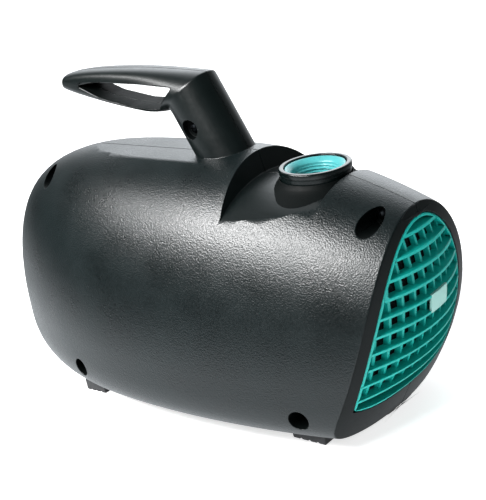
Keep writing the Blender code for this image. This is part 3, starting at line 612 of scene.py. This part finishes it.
# %% Make the halves
def edge_radius(middle):
    """Radii in mm: fine at the seam, wider at the front rim and the screw bores."""
    x, y, z = middle
    if abs(y) < 0.8:
        return 0.3
    bore = min(math.hypot(x - bx, z - bz) for bx, bz in SCREW_PLACES)
    if y < 0 and 6.0 < bore < 8.5:
        return 0.6
    if z > 219:
        return 0.9
    if abs(x - front_x(y, z)) < 3.0:
        return 0.8
    return 0.45


def half_housing(side, tag):
    shell = half_barrel(f"housing_shell_{tag}", side, 0.0, 0.0, SEAM, 72, 56, GRAINED, SATIN)
    cut = notch("notch")
    # The plinth takes the dull dark black, which paints the shade beneath the collar.
    combine(cut, lathe("plinth", PLINTH, (X_PORT, 0), "Z", SHADE_BLACK, 96))
    combine(shell, cut)
    flat = ((-130, FACET_Z), (37, FACET_Z), (37, 230), (-130, 230))
    combine(shell, extrude("flat", flat, -60, 60, "Y", GRAINED))
    combine(shell, rod("pocket", (0, GLAND_Z), 16.0, -230, -186.0, "X", SATIN, 64))
    handle = loft_half("handle", handle_rows(), side, SEAM, 28, SATIN)
    # The finger slot's walls take the dull dark black: painted shade inside the slot.
    combine(handle, extrude("slot", rounded(GRIP_SLOT, 3.0), -40, 40, "Y", SHADE_BLACK))
    combine(shell, handle, "UNION")

    room = half_barrel("room", side, WALL, 3.5, -2.0, 26, 24, SHADE_BLACK, SHADE_BLACK)
    combine(room, notch("room_notch", WALL, 12, SHADE_BLACK))
    inner_flat = ((-140, FACET_Z - WALL), (40, FACET_Z - WALL), (40, 230), (-140, 230))
    combine(room, extrude("room_flat", inner_flat, -70, 70, "Y", SHADE_BLACK))
    combine(room, rod("room_pocket", (0, GLAND_Z), 19.0, -230, -183.0, "X"))
    for number, spot in enumerate(SCREW_PLACES[:4]):
        combine(room, rod(f"boss_{number}", spot, 9.5, -110, 110, "Y"))
    combine(shell, room)
    rows = [(*pair, STEM_RADIUS - 3.5, 2.0) for pair in (
        (stem_edges(236.0, 3.5)[0], 236.0, stem_edges(216.0, 3.5)[1], 216.0),
        (stem_edges(178.0, 3.5)[0], 178.0, stem_edges(178.0, 3.5)[1], 178.0))]
    hollow = loft_half("stem_room", rows, side, -2.0, 20, SHADE_BLACK)
    combine(hollow, rod("stem_boss", SCREW_PLACES[4], 9.5, -40, 40, "Y"))
    combine(shell, hollow)

    combine(shell, extrude("opening", opening_outline(GAP), 150, 220, "X", SATIN))
    combine(shell, rod("port", (X_PORT, 0), 25.3, 150, 200, "Z", SATIN, 96))
    combine(shell, rod("gland_hole", (0, GLAND_Z), 8.3, -195, -170, "X"))
    for number, spot in enumerate(SCREW_PLACES):
        if side < 0:
            # The bore walls take the dull dark black: painted shade inside the bores.
            combine(shell, rod(f"bore_{number}", spot, 7.2, -110, SCREW_SEAT, "Y", SHADE_BLACK))
            combine(shell, rod(f"shank_{number}", spot, 2.3, -30, 3, "Y", SHADE_BLACK, 16))
        else:
            combine(shell, rod(f"pilot_{number}", spot, 2.1, -3, 14, "Y", SHADE_BLACK, 16))
    return soften(shell, edge_radius)


for side, tag in ((-1, "right"), (1, "left")):
    shell = half_housing(side, tag)
    show(shell, "housing_plastic", f"housing_{tag}")
    print(shell.name, len(shell.data.polygons), "faces", [slot.name for slot in shell.data.materials])

# %% [markdown]
# ## Intake grille
# The grille is one teal moulding clipped in behind the bezel: a thin rim, ten thin slats
# that catch the light on their upper faces, and upright ribs set back behind them. The
# slats and ribs share one grid of cells, which keeps every crossing clean, and the bezel's
# own outline trims them.

# %% Lay out the grid
SLAT_TOP = 147.0
SLAT_PITCH = 11.7
SLAT_COUNT = 10
SLAT_THICK = 2.0
RIB_PITCH = 11.2
RIB_COUNT = 10
RIB_THICK = 2.0
GRILLE_SETBACK = 0.6
RIB_SETBACK = 5.0
GRILLE_DEPTH = 9.5
GRILLE_DOME = 7.4
DOME_Z = 88.0
DOME_FALL = 62.0


def grille_x(y, z):
    """The grille's own face, which bulges past the bezel and meets it along the arch."""
    rise = max(z - OPENING_SPRING, 0.0) / (OPENING_TOP - OPENING_SPRING)
    half = OPENING_HALF * math.sqrt(max(1 - rise * rise, 0.0001))
    across = max(1 - (y / half) ** 2, 0.0)
    if z > DOME_Z:
        along = 1 - ((z - DOME_Z) / (OPENING_TOP - DOME_Z)) ** 2
    else:
        along = 1 - ((DOME_Z - z) / DOME_FALL) ** 3
    return front_x(y, z) + GRILLE_DOME * across * max(along, 0.0)


def face_ring(name, outer, inner, front, rear, finish):
    """A band between two outlines that follows the domed grille."""
    points = []
    for outline, setback in ((outer, front), (inner, front), (inner, rear), (outer, rear)):
        points += [(grille_x(y, z) - setback, y, z) for y, z in outline]
    return solid(name, points, strips(4, len(outer), True, True), finish)


def lattice(name):
    """Slats in both layers and ribs in the rear layer."""
    ribs = [(rib - (RIB_COUNT - 1) / 2) * RIB_PITCH for rib in range(RIB_COUNT)]
    slats = [SLAT_TOP - SLAT_PITCH * slat for slat in range(SLAT_COUNT)]
    reach = OPENING_HALF + 6
    ys = [-reach]
    rib_columns = set()
    for middle in ribs:
        ys.append((ys[-1] + middle - RIB_THICK / 2) / 2)
        rib_columns.add(len(ys))
        ys += [middle - RIB_THICK / 2, middle + RIB_THICK / 2]
    ys += [(ys[-1] + reach) / 2, reach]
    zs = sorted(edge for z in slats for edge in (z - SLAT_THICK / 2, z + SLAT_THICK / 2))
    setbacks = (GRILLE_SETBACK, RIB_SETBACK, GRILLE_DEPTH)

    def filled(column, row, layer):
        inside = 0 <= column < len(ys) - 1 and 0 <= row < len(zs) - 1 and 0 <= layer < 2
        return inside and (row % 2 == 0 or (column in rib_columns and layer == 1))

    keys = {}
    points = []

    def index(column, row, layer):
        if (column, row, layer) not in keys:
            keys[column, row, layer] = len(points)
            y, z = ys[column], zs[row]
            points.append((grille_x(y, z) - setbacks[layer], y, z))
        return keys[column, row, layer]

    sides = (((1, 0, 0), ((1, 0, 0), (1, 1, 0), (1, 1, 1), (1, 0, 1))),
             ((-1, 0, 0), ((0, 0, 0), (0, 0, 1), (0, 1, 1), (0, 1, 0))),
             ((0, 1, 0), ((0, 1, 0), (0, 1, 1), (1, 1, 1), (1, 1, 0))),
             ((0, -1, 0), ((0, 0, 0), (1, 0, 0), (1, 0, 1), (0, 0, 1))),
             ((0, 0, 1), ((0, 0, 1), (1, 0, 1), (1, 1, 1), (0, 1, 1))),
             ((0, 0, -1), ((0, 0, 0), (0, 1, 0), (1, 1, 0), (1, 0, 0))))
    faces = []
    for column in range(len(ys) - 1):
        for row in range(len(zs) - 1):
            for layer in range(2):
                if filled(column, row, layer):
                    for (step_y, step_z, step_x), corners in sides:
                        if not filled(column + step_y, row + step_z, layer + step_x):
                            faces.append(tuple(index(column + a, row + b, layer + c) for a, b, c in corners))
    return solid(name, points, faces, TEAL)


print(SLAT_COUNT, "slats and", RIB_COUNT, "ribs")

# %% Build the grille
grille = face_ring("grille", opening_outline(-GAP), opening_outline(-2.2), GRILLE_SETBACK, GRILLE_DEPTH, TEAL)
bars = lattice("bars")
combine(bars, extrude("trim", opening_outline(-1.4), 140, 230, "X", TEAL), "INTERSECT")
combine(grille, bars, "UNION")
plate_low, plate_high = box("nameplate_blank")
PLATE_Y = (plate_low.y, plate_high.y)
PLATE_Z = (plate_low.z, plate_high.z)


def plate_form(name, rows, finish):
    """The nameplate's block: rows of (setback, scale) between its rear and its front."""
    outline = rounded([(PLATE_Y[0], PLATE_Z[0]), (PLATE_Y[1], PLATE_Z[0]), (PLATE_Y[1], PLATE_Z[1]),
                       (PLATE_Y[0], PLATE_Z[1])], 0.6)
    dense = []
    for index, spot in enumerate(outline):
        after = outline[(index + 1) % len(outline)]
        pieces = max(1, int(math.dist(spot, after) / 2.0))
        dense += [(spot[0] + (after[0] - spot[0]) * step / pieces,
                   spot[1] + (after[1] - spot[1]) * step / pieces) for step in range(pieces)]
    middle = (sum(PLATE_Y) / 2, sum(PLATE_Z) / 2)
    points = []
    for setback, scale in rows:
        for y, z in dense:
            y = middle[0] + (y - middle[0]) * scale
            z = middle[1] + (z - middle[1]) * scale
            points.append((grille_x(y, z) - setback, y, z))
    count = len(dense)
    last = (len(rows) - 1) * count
    faces = strips(len(rows), count, closed_columns=True)
    faces += [tuple(range(count)), tuple(range(last, last + count))]
    return solid(name, points, faces, finish)


combine(grille, plate_form("pocket", ((3.0, 1.03), (-2.0, 1.03)), TEAL))
soften(grille, lambda middle: 0.32, segments=2)
show(grille, "teal_plastic", "intake_grille")
print("grille", len(grille.data.polygons), "faces")

# %% [markdown]
# ## Nameplate and foam
# A plain mint plate sits in a pocket in the slats. Behind the bars lies a pad of open
# foam that keeps dust out of the blower. The plate is a thin curved block with rounded
# corners. The pad is a sheet bent along the dome, and its cells come from the bump.

# %% Plate and pad
plate = plate_form("nameplate", ((2.6, 1.0), (1.0, 1.0), (0.72, 0.985), (0.66, 0.95), (0.66, 0.6),
                                  (0.66, 0.02)), MINT)
plate.data.shade_smooth()
plate.data.set_sharp_from_angle(angle=math.radians(40))
show(plate, "mint_plastic", "nameplate_blank")


def foam_pad(name, setback, thick):
    outline = opening_outline(-1.8, 48, 16)
    rings = 14
    middle_z = Z_MIDDLE + 25
    points = []
    for depth in (setback, setback + thick):
        for step in range(rings):
            scale = 1 - step / rings
            for y, z in outline:
                y, z = y * scale, middle_z + (z - middle_z) * scale
                points.append((grille_x(y, z) - depth, y, z))
    count = len(outline)
    centre = len(points)
    points += [(grille_x(0, middle_z) - depth, 0, middle_z) for depth in (setback, setback + thick)]
    faces = []
    for layer in (0, 1):
        base = layer * rings * count
        for face in strips(rings, count, closed_columns=True):
            faces.append(tuple(base + corner for corner in face))
        last = base + (rings - 1) * count
        faces += [(last + step, last + (step + 1) % count, centre + layer) for step in range(count)]
    for step in range(count):
        after = (step + 1) % count
        faces.append((step, after, rings * count + after, rings * count + step))
    return solid(name, points, faces, FOAM)


foam = foam_pad("foam_pad", GRILLE_DEPTH + 1.6, 9.8)
combine(foam, rod("clear_boss", SCREW_PLACES[0], 10.0, -60, 60, "Y", FOAM))
foam.data.shade_smooth()
foam.data.set_sharp_from_angle(angle=math.radians(40))
show(foam, "filter_foam", "filter_foam")
print("plate and pad", [round(1000 * side, 1) for side in foam.dimensions])

# %% [markdown]
# ## Outlet
# The outlet is a black collar round an aqua insert with an inside pipe thread. Stacked
# rings would only look like a thread from far away, so the insert's wall is a grid whose
# radius follows a helix: the crest climbs by one pitch each turn.

# %% Collar
collar_top = port_high.z
collar_radius = (port_high.x - port_low.x) / 2
insert_low, insert_high = box("outlet_insert")
insert_top = insert_high.z
insert_bottom = insert_low.z
RIM = 25.5  # the collar above the housing


def arc(centre, radius, start, end, steps=6):
    """Points on an arc in a profile, angles in degrees."""
    return [(centre[0] + radius * math.cos(math.radians(start + (end - start) * step / steps)),
             centre[1] + radius * math.sin(math.radians(start + (end - start) * step / steps)))
            for step in range(steps + 1)]


profile = [(21.9, 158.2), (27.9, 158.2), (27.9, 160.9), (RIM - 0.5, 160.9), (RIM - 0.5, 181.0)]
profile += [ (RIM - 0.8, 181.2), (RIM - 0.8, 181.6), (RIM - 0.4, 181.8)]
profile += arc((RIM - 0.4, 182.2), 0.4, -60, 0, 3)
profile += arc((RIM - 1.1, collar_top - 1.1), 1.1, 0, 90, 8)
profile += arc((22.7, collar_top - 0.8), 0.8, 90, 180, 5)
collar = lathe("collar", profile, (X_PORT, 0), "Z", GLOSS, 128)
collar.data.shade_smooth()
collar.data.set_sharp_from_angle(angle=math.radians(50))
show(collar, "collar_plastic", "outlet_collar")
print("collar", round(collar_radius, 2), "mm radius at the foot, top at", round(collar_top, 2))

# %% Threaded insert
THREAD_MAJOR = 16.6
THREAD_MINOR = 15.1
THREAD_PITCH = 2.3
FLOOR = 171.5
BORE = 12.5


def thread_radius(z, angle):
    """Inside radius on a helix, faded out at both ends."""
    phase = ((z - 0.4) / THREAD_PITCH - angle / math.tau) % 1
    crest = min(max(2.4 * (0.5 - abs(phase - 0.5)) - 0.25, 0.0), 1.0)
    fade = min(max((insert_top - 4.6 - z) / 1.5, 0.0), 1.0) * min(max((z - FLOOR) / 1.0, 0.0), 1.0)
    return THREAD_MAJOR - (THREAD_MAJOR - THREAD_MINOR) * crest * fade


segments = 120
rows = []
outside = [(15.3, insert_bottom), (21.6, insert_bottom), (21.6, insert_top - 0.8), (21.2, insert_top - 0.1),
           (20.8, insert_top), (20.2, insert_top - 0.2), (18.6, insert_top - 1.2), (17.6, insert_top - 2.0),
           (16.9, insert_top - 2.7)]
for radius, z in outside:
    rows.append([(radius, z)] * segments)
wall = 64
for step in range(wall + 1):
    z = insert_top - 3.2 - (insert_top - 3.2 - FLOOR) * step / wall
    rows.append([(thread_radius(z, math.tau * turn / segments), z) for turn in range(segments)])
for radius, z in ((BORE + 0.6, FLOOR), (BORE, FLOOR - 0.6), (BORE, 152.2), (15.3, 152.2)):
    rows.append([(radius, z)] * segments)
points = [(X_PORT + radius * math.cos(math.tau * turn / segments),
           radius * math.sin(math.tau * turn / segments), z)
          for row in rows for turn, (radius, z) in enumerate(row)]
insert = solid("thread_insert", points, strips(len(rows), segments, True, True), AQUA)
insert.data.shade_smooth()
insert.data.set_sharp_from_angle(angle=math.radians(48))
show(insert, "aqua_plastic", "outlet_insert")
print("thread of", round((insert_top - 4.6 - FLOOR) / THREAD_PITCH, 1), "turns")

# %% [markdown]
# ## Screws, feet and gland
# Small parts sell the scale of the whole. The screws get a domed head and a cross recess,
# the feet are rubber blocks with softened edges that follow the belly, and the cable gland
# at the rear is a turned nut with grip flutes.


# %% Screws
def screw(name, spot):
    seat = SCREW_SEAT - GAP
    profile = [(0.0, seat - 3.0)] + arc((0.0, seat + 1.2), 4.2, -90, -20, 8) + [(4.0, seat), (1.8, seat)]
    for turn in range(12):
        y = seat + 3 + turn * 1.6
        profile += [(1.35, y), (1.8, y + 0.8)]
    profile += [(1.35, seat + 22.5), (0.0, 11.8)]
    profile = [(radius, max(y, seat - 3.0)) for radius, y in profile]
    # The head is dark steel: painted shade for the deep bore it sits in.
    made = lathe(name, profile, spot, "Y", SCREW_SHADE_STEEL, 32)
    x, z = spot
    for wide, tall in ((4.2, 0.9), (0.9, 4.2)):
        bar = [(x - wide / 2, z - tall / 2), (x + wide / 2, z - tall / 2), (x + wide / 2, z + tall / 2),
               (x - wide / 2, z + tall / 2)]
        combine(made, extrude("recess", bar, seat - 6, seat - 1.4, "Y", SCREW_SHADE_STEEL))
    made.data.shade_smooth()
    made.data.set_sharp_from_angle(angle=math.radians(35))
    return made


for number, spot in enumerate(SCREW_PLACES, 1):
    show(screw(f"screw_{number}", spot), "zinc_steel", f"housing_screw_{number}")
print(len(SCREW_PLACES), "screws")


# %% Feet
def belly_z(x, y):
    """Height of the underside above the resting surface."""
    low, high = -math.pi / 2, 0.0
    for _ in range(40):
        middle = (low + high) / 2
        if section_point(x, middle)[0] < abs(y):
            low = middle
        else:
            high = middle
    return section_point(x, low)[1]


def foot(name, node):
    low, high = box(node)
    side = 1 if low.y > 0 else -1
    steps = 12
    points = []
    for layer in range(3):
        for i in range(steps + 1):
            for j in range(steps + 1):
                x = low.x + (high.x - low.x) * i / steps
                y = low.y + (high.y - low.y) * j / steps
                top = belly_z(x, y) - GAP
                draft = 0.4 * (1 - layer / 2)
                x += draft * (1 - 2 * i / steps)
                y += draft * (1 - 2 * j / steps)
                points.append((x, y, (0.0, 2.5, top)[layer]))
    count = (steps + 1) ** 2
    grid = strips(steps + 1, steps + 1)
    faces = grid + [tuple(2 * count + corner for corner in face) for face in grid]
    edge = [i for i in range(steps + 1)] + [(i + 1) * (steps + 1) - 1 for i in range(1, steps + 1)]
    edge += [steps * (steps + 1) + i for i in range(steps - 1, -1, -1)]
    edge += [i * (steps + 1) for i in range(steps - 1, 0, -1)]
    for layer in range(2):
        for step, corner in enumerate(edge):
            after = edge[(step + 1) % len(edge)]
            faces.append((layer * count + corner, layer * count + after,
                          (layer + 1) * count + after, (layer + 1) * count + corner))
    made = solid(name, points, faces, RUBBER)
    centre = ((low.x + high.x) / 2, (low.y + high.y) / 2)
    combine(made, rod("stud", centre, 3.2, 5, high.z, "Z", RUBBER), "UNION")
    for step in range(1, 4):
        x = low.x + (high.x - low.x) * step / 4
        groove = [(x - 0.8, -1.0), (x + 0.8, -1.0), (x + 0.8, 0.9), (x - 0.8, 0.9)]
        combine(made, extrude("groove", groove, -120, 120, "Y", RUBBER))
    return soften(made, lambda middle: 0.5, segments=2)


for end in ("front", "rear"):
    for tag in ("right", "left"):
        show(foot(f"foot_block_{end}_{tag}", f"foot_{end}_{tag}"), "black_rubber", f"foot_{end}_{tag}")

# %% Cable gland
gland_low, gland_high = box("cable_gland")
tip = gland_low.x
base = gland_high.x
profile = [(3.6, tip + 0.4)] + arc((4.6, tip + 0.8), 0.8, 180, 270, 4) + arc((5.6, tip + 1.2), 1.2, -90, 0, 4)
profile += [(9.2, tip + 4.2), (9.8, tip + 5.0), (10.4, -191.4), (12.2, -190.6), (12.5, -190.2),
            (12.5, -186.8), (12.2, -186.3), (8.0, -186.3)]
for turn in range(5):
    x = -185.5 + turn * 2.2
    profile += [(7.4, x), (8.0, x + 1.1)]
profile += [(7.6, base), (3.6, base)]
gland = lathe("gland", profile, (0, GLAND_Z), "X", SATIN, 96)
for flute in range(12):
    angle = math.tau * flute / 12
    spot = (12.9 * math.cos(angle), GLAND_Z + 12.9 * math.sin(angle))
    combine(gland, rod("flute", spot, 1.1, -192, -184, "X", SATIN, 16))
gland.data.shade_smooth()
gland.data.set_sharp_from_angle(angle=math.radians(40))
show(gland, "collar_plastic", "cable_gland")
print("gland", len(gland.data.polygons), "faces")

# %% [markdown]
# ## Inner parts
# The motor, its bearings, the impeller and the scroll round it keep the shapes of the
# engineering model, which are right as they are. They get the finishes of real ones: cast
# aluminium, lamination steel, enamelled copper, zinc-plated bolts and grey mouldings.

# %% Finishes for the inner parts
INNER_FINISHES = {
    STEEL: ("front_bearing", "rear_bearing", "impeller_nut", "rotor_shaft", "motor_bolt_1", "motor_bolt_2",
            "motor_bolt_3", "motor_bolt_4"),
    LAMINATION: ("rotor_core", "stator_core"),
    ALUMINIUM: ("front_end_shield", "rear_end_shield", "motor_casing"),
    COPPER: ("stator_winding_front", "stator_winding_rear"),
    GREY: ("impeller", "cooling_fan", "volute_casing", "volute_cover", "capacitor", "terminal_block"),
    RUBBER: ("motor_mount_front", "motor_mount_rear", "outlet_gasket", "shaft_seal", "volute_gasket"),
    SATIN: ("gland_nut",),
}
for material, names in INNER_FINISHES.items():
    for name in names:
        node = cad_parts[name]
        node.data.materials.clear()
        node.data.materials.append(material)
print(sum(len(names) for names in INNER_FINISHES.values()), "inner parts finished")

# %% [markdown]
# ## Floor and light
# A dark moulding is drawn by what it reflects. One large soft box behind its right shoulder
# lays the long highlight along the barrel. A pale backdrop at the rear left gives the flat
# under the handle its grey. The front right stays almost black, which leaves the bezel dark
# and keeps the crease beside it crisp. A second soft box could draw the lower reflection,
# but a gradient in the world does the same with less noise.

# %% Floor
floor_mesh = bpy.data.meshes.new("floor")
floor_mesh.from_pydata([(-40, -40, 0), (40, -40, 0), (40, 40, 0), (-40, 40, 0)], [], [(0, 1, 2, 3)])
floor = bpy.data.objects.new("floor", floor_mesh)
bpy.context.scene.collection.objects.link(floor)
pale = bpy.data.materials.new("pale_floor")
pale.use_nodes = True
paint = Wire(pale.node_tree)
spot = paint.node("TexCoord", output=3)
mottle = paint.node("TexNoise", None, {"Vector": spot, "Scale": 3.0, "Detail": 2.0})
pale_shader = pale.node_tree.nodes["Principled BSDF"]
pale_shader.inputs["Roughness"].default_value = 0.7
pale_shader.inputs["Emission Color"].default_value = (1.0, 1.0, 1.0, 1.0)
pale_shader.inputs["Emission Strength"].default_value = 0.7
pale.node_tree.links.new(mottle.blend((0.84, 0.84, 0.84, 1), (0.86, 0.86, 0.86, 1)).end,
                         pale_shader.inputs["Base Color"])
floor_mesh.materials.append(pale)
floor.visible_glossy = False  # the world's lower half stands for it in reflections
print("floor of 80 m")

# %% World
BACKDROP = (-0.45, 0.80, 0.40)  # towards the middle of the pale backdrop
LIT_FLOOR = (-0.60, -0.80, 0.0)  # towards the side where the floor is lit
world = bpy.data.worlds.new("studio")
world.use_nodes = True
bpy.context.scene.world = world
sky = Wire(world.node_tree)
toward = sky.node("TexCoord", output=0)


def towards(direction):
    """The cosine between the view direction and this one."""
    return toward.node("VectorMath", {"operation": "DOT_PRODUCT"}, {0: toward, 1: direction}, 1)


height = toward.part("Z")
backdrop = towards(BACKDROP).clamped() ** 9.0 * 3.6
ceiling = height.between(0.45, 0.9) * 0.06
lit = towards(LIT_FLOOR).between(-0.3, 0.4) * 0.8 + 0.2
ground = (height * -1.0).between(0.08, 0.48) * lit * 1.6
glow = backdrop + ceiling + ground + 0.05
cool = glow.node("VectorMath", {"operation": "SCALE"}, {0: (0.95, 1.0, 1.04), "Scale": glow})
background = world.node_tree.nodes["Background"]
world.node_tree.links.new(cool.end, background.inputs["Color"])
background.inputs["Strength"].default_value = 1.0
print("backdrop towards", BACKDROP)


# %% Soft box
def soft_box(name, spot, aim, wide, tall, watts):
    lamp = bpy.data.lights.new(name, "AREA")
    lamp.shape = "RECTANGLE"
    lamp.size = wide
    lamp.size_y = tall
    lamp.energy = watts
    made = bpy.data.objects.new(name, lamp)
    made.location = spot
    made.rotation_euler = (Vector(aim) - Vector(spot)).to_track_quat("-Z", "Y").to_euler()
    bpy.context.scene.collection.objects.link(made)
    return made


soft_box("key", (-0.46, -1.17, 1.258), (0.0, 0.0, 0.12), 1.5, 0.40, 82)
fill = soft_box("front_fill", (1.4, -0.5, 0.9), (0.15, 0.0, 0.1), 1.0, 1.0, 6)
fill.visible_glossy = False  # it lifts the colours and leaves the blacks alone

# %% [markdown]
